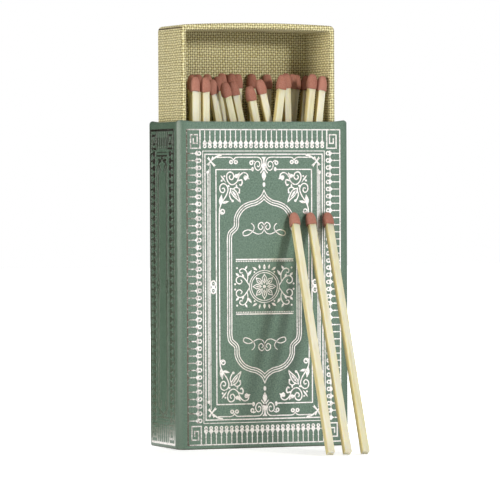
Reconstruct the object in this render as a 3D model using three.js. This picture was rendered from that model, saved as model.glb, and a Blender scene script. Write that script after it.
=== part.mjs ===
// A book-style matchbox standing on its end: a paper-wrapped board sleeve, a linen-covered tray pulled part
// of the way out of it, the matches that stand in the tray, and three more that lean against the sleeve.
// Millimetres, +Z up, with the sleeve's front facing -Y. The origin is on the ground, at the middle of the
// rectangle that the whole object covers.
import * as THREE from 'three';

// Sleeve: four board walls, open at the top and the bottom
const sleeveWidth = 61.5;
const sleeveDepth = 29;
const sleeveHeight = 110;
const sleeveWall = 1.9;
const sleeveEdgeRadius = 1.4;
const sleeveInnerRadius = 0.4;
const mouthRoll = 1.1; // height over which the wrap rolls in at the top
const footRoll = 0.45; // the same at the bottom, beside the flat that it stands on
const cornerRise = 0.5; // the folded wrap stands a little higher over the corners
const cornerRiseLength = 3.2;

// Striking strip glued to the narrow side at +X
const strikerWidth = 20;
const strikerEndMargin = 3;
const strikerThickness = 0.3;
const strikerCornerRadius = 0.8;

// Tray: as long as the sleeve, lying on its back panel behind the open side at -Y
const slideClearance = 0.9;
const trayShift = -0.6; // the loose tray has slid over towards the left wall
const trayWall = 2;
const trayBack = 2;
const trayEdgeRadius = 1.6;
const trayInnerRadius = 0.5;
const trayRimRoll = 0.9;
const trayEndBow = 0.8; // the end wall at the top arches outwards
const trayOut = 32.5; // how far the tray is pulled out

// Matches
const matchLength = 92;
const stickSize = 2.4;
const stickEdgeRadius = 0.25;
const headWidth = 3.5;
const headLength = 5;
const headWaist = 0.2; // the head narrows this much towards its lower rim
const headCover = 2.6; // head material over the stick's end
const headSeat = 0.12; // clearance between the stick and the socket in its head
const headTip = 0.45; // half width of the blunt tip

// Clearances between pieces that lie against each other
const restGap = 0.2;
const neighbourGap = 0.04;

// Matches in the tray, row by row from the open side to the back panel. Each match is the place of its head
// and of its foot, as shares of the tray's inner width from the left wall, and how much longer it is cut.
const trayRows = [
  [[0.066, 0.066, -1.6], [0.14, 0.14, -1.8], [0.682, 0.456, -0.2], [0.905, 0.707, -0.1], [0.965, 0.78, -0.8]],
  [[0.298, 0.681, -1.4], [0.472, 0.822, -3], [0.537, 0.951, -0.1]],
  [[0.141, 0.141, -0.6], [0.236, 0.525, -1.3], [0.38, 0.76, -0.9], [0.76, 0.6, -0.1]],
  [[0.233, 0.233, -0.4], [0.305, 0.49, -0.7], [0.835, 0.66, 0.1]],
  [[0.156, 0.156, -0.5], [0.362, 0.362, 0], [0.43, 0.421, 0], [0.915, 0.685, 0.2], [0.965, 0.81, -0.4]],
  [[0.41, 0.41, -0.2], [0.5, 0.5, -0.1], [0.6, 0.6, 0], [0.709, 0.709, -0.1], [0.85, 0.82, -0.1]],
];

// Matches that lean back against the sleeve's front, as shares of its width where their heads touch it
const leaningHeads = [0.667, 0.764, 0.867];
const leanBack = 31.6; // degrees from upright
const leanAside = 4.3; // degrees, feet to the left of the heads

const trayWidth = sleeveWidth - 2 * (sleeveWall + slideClearance);
const trayDepth = sleeveDepth - 2 * (sleeveWall + slideClearance);
const trayLength = sleeveHeight;
const trayInnerWidth = trayWidth - 2 * trayWall;
const trayFloorLevel = trayOut + trayWall;

const wrap = new THREE.MeshStandardMaterial({ color: 0x63806f, roughness: 0.55, metalness: 0 });
const linen = new THREE.MeshStandardMaterial({ color: 0xb3a67a, roughness: 0.9, metalness: 0 });
const grit = new THREE.MeshStandardMaterial({ color: 0x4a3230, roughness: 0.95, metalness: 0 });
const aspen = new THREE.MeshStandardMaterial({ color: 0xeee6bd, roughness: 0.7, metalness: 0 });
const headPaste = new THREE.MeshStandardMaterial({ color: 0xa5605a, roughness: 0.85, metalness: 0 });

// The outline of a rounded rectangle as [x, y] pairs, counterclockwise. Each side's own points crowd towards
// its ends, where a rim that rises over the corners needs them.
function roundedOutline(halfX, halfY, radius, arcSteps, sideSteps) {
  const corners = [
    [halfX - radius, halfY - radius, 0],
    [radius - halfX, halfY - radius, 1],
    [radius - halfX, radius - halfY, 2],
    [halfX - radius, radius - halfY, 3],
  ];
  const outline = [];
  corners.forEach(([x, y, quarter], index) => {
    for (let step = 0; step <= arcSteps; step += 1) {
      const angle = (quarter + step / arcSteps) * (Math.PI / 2);
      outline.push([x + radius * Math.cos(angle), y + radius * Math.sin(angle)]);
    }
    const start = outline[outline.length - 1];
    const [nextX, nextY, nextQuarter] = corners[(index + 1) % corners.length];
    const nextAngle = nextQuarter * (Math.PI / 2);
    const end = [nextX + radius * Math.cos(nextAngle), nextY + radius * Math.sin(nextAngle)];
    for (let step = 1; step < sideSteps; step += 1) {
      const share = (1 - Math.cos((Math.PI * step) / sideSteps)) / 2;
      outline.push([start[0] + (end[0] - start[0]) * share, start[1] + (end[1] - start[1]) * share]);
    }
  });
  return outline;
}

// Skins rings of equal count into one closed body. The rings run upwards outside; a hoop's last ring joins
// its first, and any other body is capped at both ends by a fan.
function skinRings(rings, isHoop) {
  const count = rings[0].length;
  const points = rings.flat();
  const triangles = [];
  const spans = isHoop ? rings.length : rings.length - 1;
  for (let ring = 0; ring < spans; ring += 1) {
    const low = ring * count;
    const high = ((ring + 1) % rings.length) * count;
    for (let index = 0; index < count; index += 1) {
      const next = (index + 1) % count;
      triangles.push(low + index, low + next, high + next);
      triangles.push(low + index, high + next, high + index);
    }
  }
  if (!isHoop) {
    [[0, true], [(rings.length - 1) * count, false]].forEach(([start, facesDown]) => {
      const middle = new THREE.Vector3();
      for (let index = 0; index < count; index += 1) {
        middle.addScaledVector(points[start + index], 1 / count);
      }
      const centre = points.push(middle) - 1;
      for (let index = 0; index < count; index += 1) {
        const here = start + index;
        const next = start + ((index + 1) % count);
        triangles.push(...(facesDown ? [centre, next, here] : [centre, here, next]));
      }
    });
  }
  const geometry = new THREE.BufferGeometry().setFromPoints(points);
  geometry.setIndex(triangles);
  geometry.computeVertexNormals();
  return geometry;
}

const ringAt = (outline, z) => outline.map(([x, y]) => new THREE.Vector3(x, y, z));

// The sleeve is one hoop of board and wrap: up the outside, over the rolled mouth, down the inside, and back
// under the foot, which keeps a flat between its two rounded edges.
function makeSleeve() {
  const arcSteps = 4;
  const sideSteps = 8;
  const halfX = sleeveWidth / 2;
  const halfY = sleeveDepth / 2;
  const innerX = halfX - sleeveWall;
  const innerY = halfY - sleeveWall;
  const outer = roundedOutline(halfX, halfY, sleeveEdgeRadius, arcSteps, sideSteps);
  const inner = roundedOutline(innerX, innerY, sleeveInnerRadius, arcSteps, sideSteps);
  const rise = ([x, y]) => {
    const fromCorner = Math.max(halfX - Math.abs(x), halfY - Math.abs(y));
    return cornerRise * Math.exp(-((fromCorner / cornerRiseLength) ** 2));
  };
  const ring = (across, height) => outer.map(([x, y], index) => {
    const [endX, endY] = inner[index];
    return new THREE.Vector3(x + (endX - x) * across, y + (endY - y) * across, height([x, y]));
  });
  const footAcross = footRoll / sleeveWall;
  const rings = [ring(footAcross, () => 0)];
  [0.3, 0.7, 1].forEach((turn) => {
    const angle = turn * (Math.PI / 2);
    rings.push(ring(footAcross * (1 - Math.sin(angle)), () => footRoll * (1 - Math.cos(angle))));
  });
  const mouthSteps = 6;
  for (let step = 0; step <= mouthSteps; step += 1) {
    const angle = (step / mouthSteps) * Math.PI;
    const level = sleeveHeight - mouthRoll * (1 - Math.sin(angle));
    rings.push(ring((1 - Math.cos(angle)) / 2, (point) => level + rise(point)));
  }
  [1, 0.7, 0.3, 0].forEach((turn) => {
    const angle = turn * (Math.PI / 2);
    rings.push(ring(1 - footAcross * (1 - Math.sin(angle)), () => footRoll * (1 - Math.cos(angle))));
  });
  return skinRings(rings, true);
}

// The striking strip, drawn upright on the sleeve's side with its glued face on the sleeve
function makeStriker() {
  const halfWidth = strikerWidth / 2;
  const halfHeight = sleeveHeight / 2 - strikerEndMargin;
  const outline = roundedOutline(halfWidth, halfHeight, strikerCornerRadius, 3, 1);
  const geometry = skinRings([ringAt(outline, 0), ringAt(outline, strikerThickness)], false);
  geometry.rotateX(Math.PI / 2);
  geometry.rotateZ(Math.PI / 2);
  return geometry;
}

// The tray as it lies on its back, open upwards, with its top end at +Y: out from the back panel's middle,
// round the soft back edge, up the walls, over the rolled rim and down inside to the panel again.
function makeTray() {
  const arcSteps = 4;
  const sideSteps = 8;
  const halfX = trayWidth / 2;
  const halfY = trayLength / 2;
  const ring = (inset, z, radius) => {
    const outline = roundedOutline(halfX - inset, halfY - inset, radius, arcSteps, sideSteps);
    return outline.map(([x, y]) => {
      const bow = trayEndBow * (1 - (x / halfX) ** 2) * Math.max(0, y / halfY) ** 8;
      return new THREE.Vector3(x, y + bow, z);
    });
  };
  const rings = [];
  const backSteps = 4;
  for (let step = 0; step <= backSteps; step += 1) {
    const angle = (step / backSteps) * (Math.PI / 2);
    const inset = trayEdgeRadius * (1 - Math.sin(angle));
    const radius = Math.max(trayEdgeRadius - inset, trayInnerRadius);
    rings.push(ring(inset, trayEdgeRadius * (1 - Math.cos(angle)), radius));
  }
  const rimSteps = 6;
  for (let step = 0; step <= rimSteps; step += 1) {
    const angle = (step / rimSteps) * Math.PI;
    const across = (1 - Math.cos(angle)) / 2;
    const radius = trayEdgeRadius + (trayInnerRadius - trayEdgeRadius) * across;
    rings.push(ring(trayWall * across, trayDepth - trayRimRoll * (1 - Math.sin(angle)), radius));
  }
  rings.push(ring(trayWall, trayBack, trayInnerRadius));
  return skinRings(rings, false);
}

// One match standing on its foot: a square stick, and a head cast round its end with a socket for it
function makeStick(length) {
  const outline = roundedOutline(stickSize / 2, stickSize / 2, stickEdgeRadius, 1, 1);
  return skinRings([ringAt(outline, 0), ringAt(outline, length - headCover)], false);
}

function makeHead(length) {
  const arcSteps = 2;
  const rim = length - headLength;
  const socketHalf = stickSize / 2 + headSeat;
  const socket = roundedOutline(socketHalf, socketHalf, stickEdgeRadius + headSeat, arcSteps, 1);
  const rings = [ringAt(socket, length - headCover + headSeat), ringAt(socket, rim)];
  const widestLevel = 0.36 * headLength;
  const domeHeight = headLength - widestLevel;
  const addLevel = (half, height) => {
    const roundness = Math.min(1, 0.5 + 0.6 * (height / headLength));
    rings.push(ringAt(roundedOutline(half, half, half * roundness, arcSteps, 1), rim + height));
  };
  [0, 0.45].forEach((share) => {
    addLevel(headWidth / 2 - headWaist * (1 - share) ** 2, widestLevel * share);
  });
  const domeSteps = 6;
  for (let step = 0; step < domeSteps; step += 1) {
    const angle = (step / domeSteps) * (Math.PI / 2);
    const half = headTip + (headWidth / 2 - headTip) * Math.cos(angle) ** 0.75;
    addLevel(half, widestLevel + domeHeight * Math.sin(angle));
  }
  addLevel(headTip, headLength);
  return skinRings(rings, false);
}

function makeMatch(name, length) {
  const match = new THREE.Group();
  const stick = new THREE.Mesh(makeStick(length), aspen);
  stick.name = `${name}_stick`;
  const head = new THREE.Mesh(makeHead(length), headPaste);
  head.name = `${name}_head`;
  match.add(stick, head);
  return match;
}

// Raises or lowers a match until its lowest point stands clear of a level by the rest gap
function standOn(match, level) {
  const reach = new THREE.Box3().setFromObject(match, true);
  match.position.z += level + restGap - reach.min.z;
}

// Places for one row of matches: each keeps clear of its left neighbour and then of its right one, at the
// heads and at the feet, and all keep clear of the tray's two side walls.
function settleRow(row) {
  const halfWidth = trayInnerWidth / 2;
  const headRoom = 0.55 * headWidth + neighbourGap;
  const footRoom = stickSize / Math.SQRT2 + neighbourGap;
  const widestLean = Math.asin(Math.min(0.5, Math.max(...row.map(([head, foot]) => (
    Math.abs(head - foot) * trayInnerWidth) / matchLength))));
  const headPitch = (headWidth + neighbourGap) / Math.cos(widestLean);
  const footPitch = (stickSize + neighbourGap) / Math.cos(widestLean);
  const settle = (shares, room, pitch) => {
    const places = shares.map((share) => (share - 0.5) * trayInnerWidth);
    for (let index = 0; index < places.length; index += 1) {
      const left = index === 0 ? room - halfWidth : places[index - 1] + pitch;
      places[index] = Math.max(places[index], left);
    }
    for (let index = places.length - 1; index >= 0; index -= 1) {
      const right = index === places.length - 1 ? halfWidth - room : places[index + 1] - pitch;
      places[index] = Math.min(places[index], right);
    }
    return places;
  };
  const heads = settle(row.map(([head]) => head), headRoom, headPitch);
  const feet = settle(row.map(([, foot]) => foot), footRoom, footPitch);
  return row.map(([, , extra], index) => ({
    head: heads[index],
    foot: feet[index],
    length: matchLength + extra,
  }));
}

const matchbox = new THREE.Group();

const sleeve = new THREE.Mesh(makeSleeve(), wrap);
sleeve.name = 'sleeve';
matchbox.add(sleeve);

const striker = new THREE.Mesh(makeStriker(), grit);
striker.name = 'striking_strip';
striker.position.set(sleeveWidth / 2, 0, sleeveHeight / 2);
matchbox.add(striker);

const drawer = new THREE.Group();
drawer.position.x = trayShift;
matchbox.add(drawer);

const tray = new THREE.Mesh(makeTray(), linen);
tray.name = 'tray';
tray.rotation.x = Math.PI / 2;
tray.position.set(0, trayDepth / 2, trayOut + trayLength / 2);
drawer.add(tray);

const rowRoom = trayDepth - trayBack - 2 * neighbourGap - headWidth;
const rowCount = Math.min(trayRows.length, 1 + Math.floor(rowRoom / (headWidth + neighbourGap / 2)));
const rowPitch = rowRoom / Math.max(1, rowCount - 1);
let matchNumber = 0;

function nextMatchName() {
  matchNumber += 1;
  return `match_${String(matchNumber).padStart(2, '0')}`;
}

trayRows.slice(0, rowCount).forEach((row, rowIndex) => {
  settleRow(row).forEach(({ head, foot, length }) => {
    const match = makeMatch(nextMatchName(), length);
    match.rotation.y = Math.asin((head - foot) / length);
    match.position.x = foot;
    match.position.y = neighbourGap + headWidth / 2 + rowIndex * rowPitch - trayDepth / 2;
    standOn(match, trayFloorLevel);
    drawer.add(match);
  });
});

leaningHeads.forEach((share) => {
  const match = makeMatch(nextMatchName(), matchLength);
  const aside = THREE.MathUtils.degToRad(leanAside);
  match.rotation.set(-THREE.MathUtils.degToRad(leanBack), aside, 0);
  match.position.x = (share - 0.5) * sleeveWidth - matchLength * Math.sin(aside);
  const reach = new THREE.Box3().setFromObject(match, true);
  match.position.y = -sleeveDepth / 2 - restGap - reach.max.y;
  standOn(match, 0);
  matchbox.add(match);
});

const covered = new THREE.Box3().setFromObject(matchbox, true).getCenter(new THREE.Vector3());
matchbox.position.set(-covered.x, -covered.y, 0);

export default matchbox;
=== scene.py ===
"""A matchbox standing on its end, its linen-covered tray drawn up out of a paper-wrapped sleeve."""
import math

import bmesh
import bpy
from mathutils import Matrix, Vector


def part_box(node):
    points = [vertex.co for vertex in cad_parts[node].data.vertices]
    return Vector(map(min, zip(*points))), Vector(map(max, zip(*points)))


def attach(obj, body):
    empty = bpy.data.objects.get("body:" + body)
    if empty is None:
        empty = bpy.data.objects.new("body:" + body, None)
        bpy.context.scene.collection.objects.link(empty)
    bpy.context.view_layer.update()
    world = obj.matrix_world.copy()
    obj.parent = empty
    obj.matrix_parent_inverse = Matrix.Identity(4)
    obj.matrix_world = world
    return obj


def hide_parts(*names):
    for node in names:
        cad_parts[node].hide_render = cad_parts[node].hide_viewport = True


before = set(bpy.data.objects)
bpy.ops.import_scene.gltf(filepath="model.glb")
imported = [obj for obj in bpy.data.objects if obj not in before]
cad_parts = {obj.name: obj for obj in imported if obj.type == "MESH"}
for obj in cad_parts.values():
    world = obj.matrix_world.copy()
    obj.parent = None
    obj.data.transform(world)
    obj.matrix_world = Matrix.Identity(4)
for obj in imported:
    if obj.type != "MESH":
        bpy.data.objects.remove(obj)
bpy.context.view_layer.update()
MM = 0.001

# Sleeve
# A folded and glued tube of thin board, open at both ends, wrapped in green paper with a fine leather grain.
# The wrap turns in over the board's top edge. Its folded corners stand a little higher there, and the corner
# at the left of the front rolls over softly.
sleeve_low, sleeve_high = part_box("sleeve")
SLEEVE_WALL = 1.9 * MM
SLEEVE_EDGE = 1.4 * MM
SLEEVE_INNER_EDGE = 0.4 * MM
SLEEVE_TOP = 110 * MM
CORNER_RISE = sleeve_high.z - SLEEVE_TOP
CORNER_RISE_LENGTH = 3.2 * MM
MOUTH_ROLL = 1.1 * MM
FOOT_ROLL = 0.45 * MM
CORNER_FULLNESS = 3.2 * MM
SIDE_FULLNESS = 4.2 * MM
CORNER_BEND = 1.6
SIDE_BEND = 1.15
SLEEVE_STEPS = (9, 26)
LEATHER_GRAIN = 1900.0
LEATHER_CLOUDS = 60.0
# Painted shade along the wrap's vertical folds: full within the first distance from a fold, gone at the
# second.
FOLD_SHADE_BAND = (1.0 * MM, 4.4 * MM)
# A painted contact shadow along the wrap's foot: full below the first height, gone at the second.
FOOT_SHADOW_BAND = (0.1 * MM, 0.6 * MM)
sleeve_middle = (sleeve_low + sleeve_high) / 2
sleeve_half_x = (sleeve_high.x - sleeve_low.x) / 2
sleeve_half_y = (sleeve_high.y - sleeve_low.y) / 2


def rounded_outline(half_x, half_y, radius, arc_steps, side_steps):
    """Points of a rounded rectangle, counterclockwise, crowding towards the ends of each side."""
    corners = [
        (half_x - radius, half_y - radius),
        (radius - half_x, half_y - radius),
        (radius - half_x, radius - half_y),
        (half_x - radius, radius - half_y),
    ]
    outline = []
    for quarter, (x, y) in enumerate(corners):
        for step in range(arc_steps + 1):
            angle = (quarter + step / arc_steps) * math.pi / 2
            outline.append((x + radius * math.cos(angle), y + radius * math.sin(angle)))
        start = outline[-1]
        next_x, next_y = corners[(quarter + 1) % 4]
        turned = (quarter + 1) * math.pi / 2
        end = (next_x + radius * math.cos(turned), next_y + radius * math.sin(turned))
        for step in range(1, side_steps):
            share = (1 - math.cos(math.pi * step / side_steps)) / 2
            outline.append((start[0] + (end[0] - start[0]) * share, start[1] + (end[1] - start[1]) * share))
    return outline


def skin(rings, hoop):
    """Joins rings of equal count into quads; a hoop's last ring meets its first, others get two end faces."""
    count = len(rings[0])
    points = [point for ring in rings for point in ring]
    faces = []
    spans = len(rings) if hoop else len(rings) - 1
    for ring in range(spans):
        low = ring * count
        high = (ring + 1) % len(rings) * count
        for index in range(count):
            after = (index + 1) % count
            faces.append((low + index, low + after, high + after, high + index))
    if not hoop:
        faces.append(tuple(reversed(range(count))))
        faces.append(tuple(range((len(rings) - 1) * count, len(rings) * count)))
    return points, faces


def object_of(name, data):
    """Links an object for the data, at the origin."""
    made = bpy.data.objects.new(name, data)
    bpy.context.collection.objects.link(made)
    return made


def piece_from(name, points, faces, material):
    """Makes a smooth-shaded object at the origin from points in metres and faces."""
    mesh = bpy.data.meshes.new(name)
    mesh.from_pydata(points, [], faces)
    mesh.shade_smooth()
    mesh.materials.append(material)
    return object_of(name, mesh)


def set_inputs(tree, node, inputs):
    """Sets a node's inputs: each to a plain value, or linked from the output that is given for it."""
    for key, value in inputs.items():
        if isinstance(value, bpy.types.NodeSocket):
            tree.links.new(value, node.inputs[key])
        else:
            node.inputs[key].default_value = value


def add_node(tree, kind, inputs=(), **settings):
    made = tree.nodes.new(kind)
    for key, value in settings.items():
        setattr(made, key, value)
    set_inputs(tree, made, dict(inputs))
    return made


class Finish:
    """A material, with short calls for the nodes that these finishes are made of."""

    def __init__(self, name, inputs):
        self.material = bpy.data.materials.new(name)
        self.material.use_nodes = True
        self.tree = self.material.node_tree
        self.set(inputs)

    def set(self, inputs):
        set_inputs(self.tree, self.tree.nodes["Principled BSDF"], inputs)

    def node(self, kind, inputs=(), **settings):
        return add_node(self.tree, kind, inputs, **settings)

    def place(self):
        return self.node("ShaderNodeTexCoord").outputs["Object"]

    def parts(self, vector):
        return self.node("ShaderNodeSeparateXYZ", {"Vector": vector}).outputs

    def stored(self, name, output):
        return self.node("ShaderNodeAttribute", attribute_name=name).outputs[output]

    def stretch(self, vector, scale):
        return self.node("ShaderNodeMapping", {"Vector": vector, "Scale": scale}).outputs["Vector"]

    def noise(self, vector, scale, detail=3.0, roughness=0.55):
        inputs = {"Vector": vector, "Scale": scale, "Detail": detail, "Roughness": roughness}
        return self.node("ShaderNodeTexNoise", inputs).outputs["Fac"]

    def calc(self, operation, first, second=0.0, third=0.0):
        return self.node("ShaderNodeMath", {0: first, 1: second, 2: third}, operation=operation).outputs[0]

    def spread(self, value, low, high, to_low=0.0, to_high=1.0):
        inputs = {"Value": value, "From Min": low, "From Max": high, "To Min": to_low, "To Max": to_high}
        return self.node("ShaderNodeMapRange", inputs).outputs["Result"]

    def mix(self, share, first, second):
        return self.node("ShaderNodeMix", {0: share, 6: first, 7: second}, data_type="RGBA").outputs[2]

    def bump(self, height, distance, strength=1.0):
        made = self.node("ShaderNodeBump", {"Height": height, "Distance": distance, "Strength": strength})
        self.set({"Normal": made.outputs["Normal"]})

    def colour(self, value):
        self.set({"Base Color": value})


def shade(red, green, blue):
    """An sRGB colour, 0 to 255, as Blender's linear colour."""
    def linear(part):
        part /= 255
        return part / 12.92 if part <= 0.04045 else ((part + 0.055) / 1.055) ** 2.4
    return linear(red), linear(green), linear(blue), 1.0


wrap = Finish("green wrap", {"Roughness": 0.38, "Specular IOR Level": 0.6})
wrap_place = wrap.place()
wrap_cells = wrap.node("ShaderNodeTexVoronoi", {"Vector": wrap_place, "Scale": LEATHER_GRAIN})
wrap_pores = wrap.noise(wrap_place, LEATHER_GRAIN, 3.0, 0.7)
wrap_clouds = wrap.noise(wrap_place, LEATHER_CLOUDS, 3.0)
wrap_speck = wrap.spread(wrap_pores, 0.35, 0.65)
wrap_tone = wrap.mix(wrap_speck, shade(71, 95, 79), shade(108, 131, 115))
wrap_field = wrap.mix(wrap.spread(wrap_clouds, 0.35, 0.65, 0.0, 0.35), wrap_tone, shade(92, 115, 98))
wrap_parts = wrap.parts(wrap_place)
wrap_off_x = wrap.calc("ABSOLUTE", wrap.calc("SUBTRACT", wrap_parts["X"], sleeve_middle.x))
wrap_off_y = wrap.calc("ABSOLUTE", wrap.calc("SUBTRACT", wrap_parts["Y"], sleeve_middle.y))
wrap_from_fold = wrap.calc("MAXIMUM", wrap.calc("SUBTRACT", sleeve_half_x, wrap_off_x),
                           wrap.calc("SUBTRACT", sleeve_half_y, wrap_off_y))
# Painted shade: the wrap is darker near each vertical fold, where its rounded corners turn from the light.
wrap_fold_shade = wrap.spread(wrap_from_fold, *FOLD_SHADE_BAND, 0.6, 0.0)
wrap_field = wrap.mix(wrap_fold_shade, wrap_field, shade(72, 94, 78))
# Painted contact shadow, dark brown, along the foot of the wrap.
wrap_foot_shadow = wrap.spread(wrap_parts["Z"], *FOOT_SHADOW_BAND, 0.8, 0.0)
wrap.colour(wrap.mix(wrap_foot_shadow, wrap_field, shade(58, 46, 32)))
wrap_rolled_x = wrap.spread(wrap_parts["X"], sleeve_low.x, sleeve_low.x + CORNER_FULLNESS, 1.0, 0.0)
wrap_rolled_y = wrap.spread(wrap_parts["Y"], sleeve_low.y, sleeve_low.y + SIDE_FULLNESS, SIDE_BEND, 0.0)
wrap_rolled = wrap.calc("MULTIPLY_ADD", wrap_rolled_x, wrap_rolled_x,
                        wrap.calc("MULTIPLY", wrap_rolled_y, wrap_rolled_y))
wrap_grain = wrap.calc("MULTIPLY", wrap.calc("ADD", wrap_cells.outputs["Distance"], wrap_pores), 0.035)
wrap.bump(wrap.calc("MULTIPLY_ADD", wrap_rolled, -CORNER_BEND, wrap_grain), MM)


def sleeve_rings():
    outer = rounded_outline(sleeve_half_x, sleeve_half_y, SLEEVE_EDGE, *SLEEVE_STEPS)
    inner_x = sleeve_half_x - SLEEVE_WALL
    inner_y = sleeve_half_y - SLEEVE_WALL
    inner = rounded_outline(inner_x, inner_y, SLEEVE_INNER_EDGE, *SLEEVE_STEPS)

    def ring(across, height, rises):
        made = []
        for (x, y), (end_x, end_y) in zip(outer, inner):
            from_corner = max(sleeve_half_x - abs(x), sleeve_half_y - abs(y))
            rise = CORNER_RISE * math.exp(-(from_corner / CORNER_RISE_LENGTH) ** 2) if rises else 0
            place_x = sleeve_middle.x + x + (end_x - x) * across
            place_y = sleeve_middle.y + y + (end_y - y) * across
            made.append((place_x, place_y, height + rise))
        return made

    foot = []
    foot_steps = 4
    for step in range(foot_steps + 1):
        angle = step / foot_steps * math.pi / 2
        foot.append((FOOT_ROLL / SLEEVE_WALL * (1 - math.sin(angle)), FOOT_ROLL * (1 - math.cos(angle))))
    rings = [ring(across, height, False) for across, height in foot]
    mouth_steps = 14
    for step in range(mouth_steps + 1):
        angle = step / mouth_steps * math.pi
        level = SLEEVE_TOP - MOUTH_ROLL * (1 - math.sin(angle))
        rings.append(ring((1 - math.cos(angle)) / 2, level, True))
    return rings + [ring(1 - across, height, False) for across, height in reversed(foot)]


sleeve = piece_from("wrapped_sleeve", *skin(sleeve_rings(), True), wrap.material)
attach(sleeve, "sleeve")
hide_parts("sleeve")

# Foil print
# Bright metal foil, stamped hot into the wrap of the front and of the narrow side at the left. Along the
# front's left edge the foil is painted darker, as a painted reflection of dark surroundings. Each line of the
# print is drawn as a thin plate, in millimetres from the face's middle line and from the ground.
FOIL_THICKNESS = 0.05
FOIL_SUNK = 0.03
FOIL_LAP = 0.0006
FOIL_LAPS = 30
PRINT_MIDDLE = 54.4
# Where the painted dark reflection on the front fades out, measured from the sleeve's left side.
DARK_REFLECTION_WIDE = (2.4 * MM, 11 * MM)
DARK_REFLECTION_NARROW = (3.1 * MM, 4.6 * MM)

foil = Finish("stamped foil", {"Roughness": 0.3, "Metallic": 1.0})
foil_place = foil.place()
foil_from_side = foil.calc("SUBTRACT", foil.parts(foil_place)["X"], sleeve_low.x)
# Painted dark reflection: on the front, near its left edge, the foil's colour turns dark.
foil_reflection_wide = foil.spread(foil_from_side, *DARK_REFLECTION_WIDE, 0.2, 0.0)
foil_reflection_narrow = foil.spread(foil_from_side, *DARK_REFLECTION_NARROW, 0.2, 0.0)
foil_on_front = foil.calc("GREATER_THAN", foil_from_side, 0.1 * MM)
foil_painted_reflection = foil.calc("MULTIPLY", foil.calc("ADD", foil_reflection_wide, foil_reflection_narrow), foil_on_front)
# The foil's colour mixes a random speckle of wear with that painted reflection.
foil_wear_and_reflection = foil.calc("ADD", foil.noise(foil_place, 1300.0, 4.0, 0.65), foil_painted_reflection)
foil.colour(foil.mix(foil.spread(foil_wear_and_reflection, 0.5, 0.85), (0.9, 0.85, 0.82, 1), (0.13, 0.1, 0.08, 1)))
foil.bump(foil.noise(foil_place, 1500.0, 2.0), 0.03 * MM, 0.12)


class Print:
    """Collects the plates of one printed face, as flat points and faces with a thickness."""

    laid = 0

    def __init__(self):
        self.mesh = bmesh.new()

    def level(self):
        """Each line lies a hair above the one before it, so that crossing lines share no surface."""
        Print.laid += 1
        return FOIL_THICKNESS + FOIL_LAP * (Print.laid % FOIL_LAPS)

    def plate(self, outline):
        level = self.level()
        top = [self.mesh.verts.new((u, v, level)) for u, v in outline]
        foot = [self.mesh.verts.new((u, v, -FOIL_SUNK)) for u, v in outline]
        self.mesh.faces.new(top)
        self.mesh.faces.new(list(reversed(foot)))
        for index in range(len(outline)):
            after = (index + 1) % len(outline)
            self.mesh.faces.new((top[index], foot[index], foot[after], top[after]))

    def stroke(self, path, width, closed=False, tips=1.0):
        """A line of foil along a path; tips is the share of the width that is left at its ends."""
        level = self.level()
        last = len(path) - 1
        rows = []
        for index, here in enumerate(path):
            before = path[index - 1] if index or closed else here
            after = path[(index + 1) % len(path)] if index < last or closed else here
            into = (Vector(here) - Vector(before)).normalized() if here != before else None
            out = (Vector(after) - Vector(here)).normalized() if here != after else None
            into = into or out
            out = out or into
            along = (into + out).normalized()
            aside = Vector((-along.y, along.x)) / max(0.5, along.dot(out))
            swell = 1.0 if closed else tips + (1 - tips) * math.sin(math.pi * index / last) ** 0.6
            half = aside * width * swell / 2
            rows.append([Vector(here) + half, Vector(here) - half])
        corners = []
        for left, right in rows:
            flat = [(left, level), (left, -FOIL_SUNK), (right, -FOIL_SUNK), (right, level)]
            corners.append([self.mesh.verts.new((point.x, point.y, height)) for point, height in flat])
        spans = len(rows) if closed else last
        for index in range(spans):
            here = corners[index]
            after = corners[(index + 1) % len(rows)]
            for side in range(4):
                turn = (side + 1) % 4
                self.mesh.faces.new((here[side], here[turn], after[turn], after[side]))
        if not closed:
            self.mesh.faces.new(list(reversed(corners[0])))
            self.mesh.faces.new(corners[-1])

    def curve(self, points, width, tips=1.0, steps=4):
        """A line of foil along a smooth path through the points."""
        self.stroke(bend(points, steps), width, tips=tips)

    def dot(self, u, v, radius, tall=1.0, sides=12):
        self.plate(oval(u, v, radius, tall, sides))

    def ring(self, u, v, radius, width, tall=1.0, sides=14):
        self.stroke(oval(u, v, radius, tall, sides), width, closed=True)

    def leaf(self, root, tip, width):
        """A leaf with a round belly and a point at each end."""
        root = Vector(root)
        along = Vector(tip) - root
        aside = Vector((-along.y, along.x)).normalized() * width / 2
        belly = ((0.15, 0.5), (0.32, 0.9), (0.5, 1.0), (0.68, 0.75), (0.85, 0.35))
        left = [root + along * share + aside * bulge for share, bulge in belly]
        right = [root + along * share - aside * bulge for share, bulge in reversed(belly)]
        self.plate([tuple(point) for point in [root] + left + [Vector(tip)] + right])

    def add(self, other, turn):
        """Adds another print, turned or mirrored by a matrix."""
        copy = other.to_mesh()
        copy.transform(turn)
        self.mesh.from_mesh(copy)
        bpy.data.meshes.remove(copy)

    def to_mesh(self):
        made = bpy.data.meshes.new("print")
        self.mesh.to_mesh(made)
        return made

    def piece(self, name, stand):
        """Stands the print on its face by a matrix, in metres, as one object on the sleeve."""
        bmesh.ops.recalc_face_normals(self.mesh, faces=self.mesh.faces)
        made = self.to_mesh()
        made.transform(stand)
        if stand.determinant() < 0:
            made.flip_normals()
        made.materials.append(foil.material)
        stamped = object_of(name, made)
        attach(stamped, "sleeve")


def oval(u, v, radius, tall, sides):
    steps = [2 * math.pi * step / sides for step in range(sides)]
    return [(u + radius * math.cos(angle), v + tall * radius * math.sin(angle)) for angle in steps]


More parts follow.
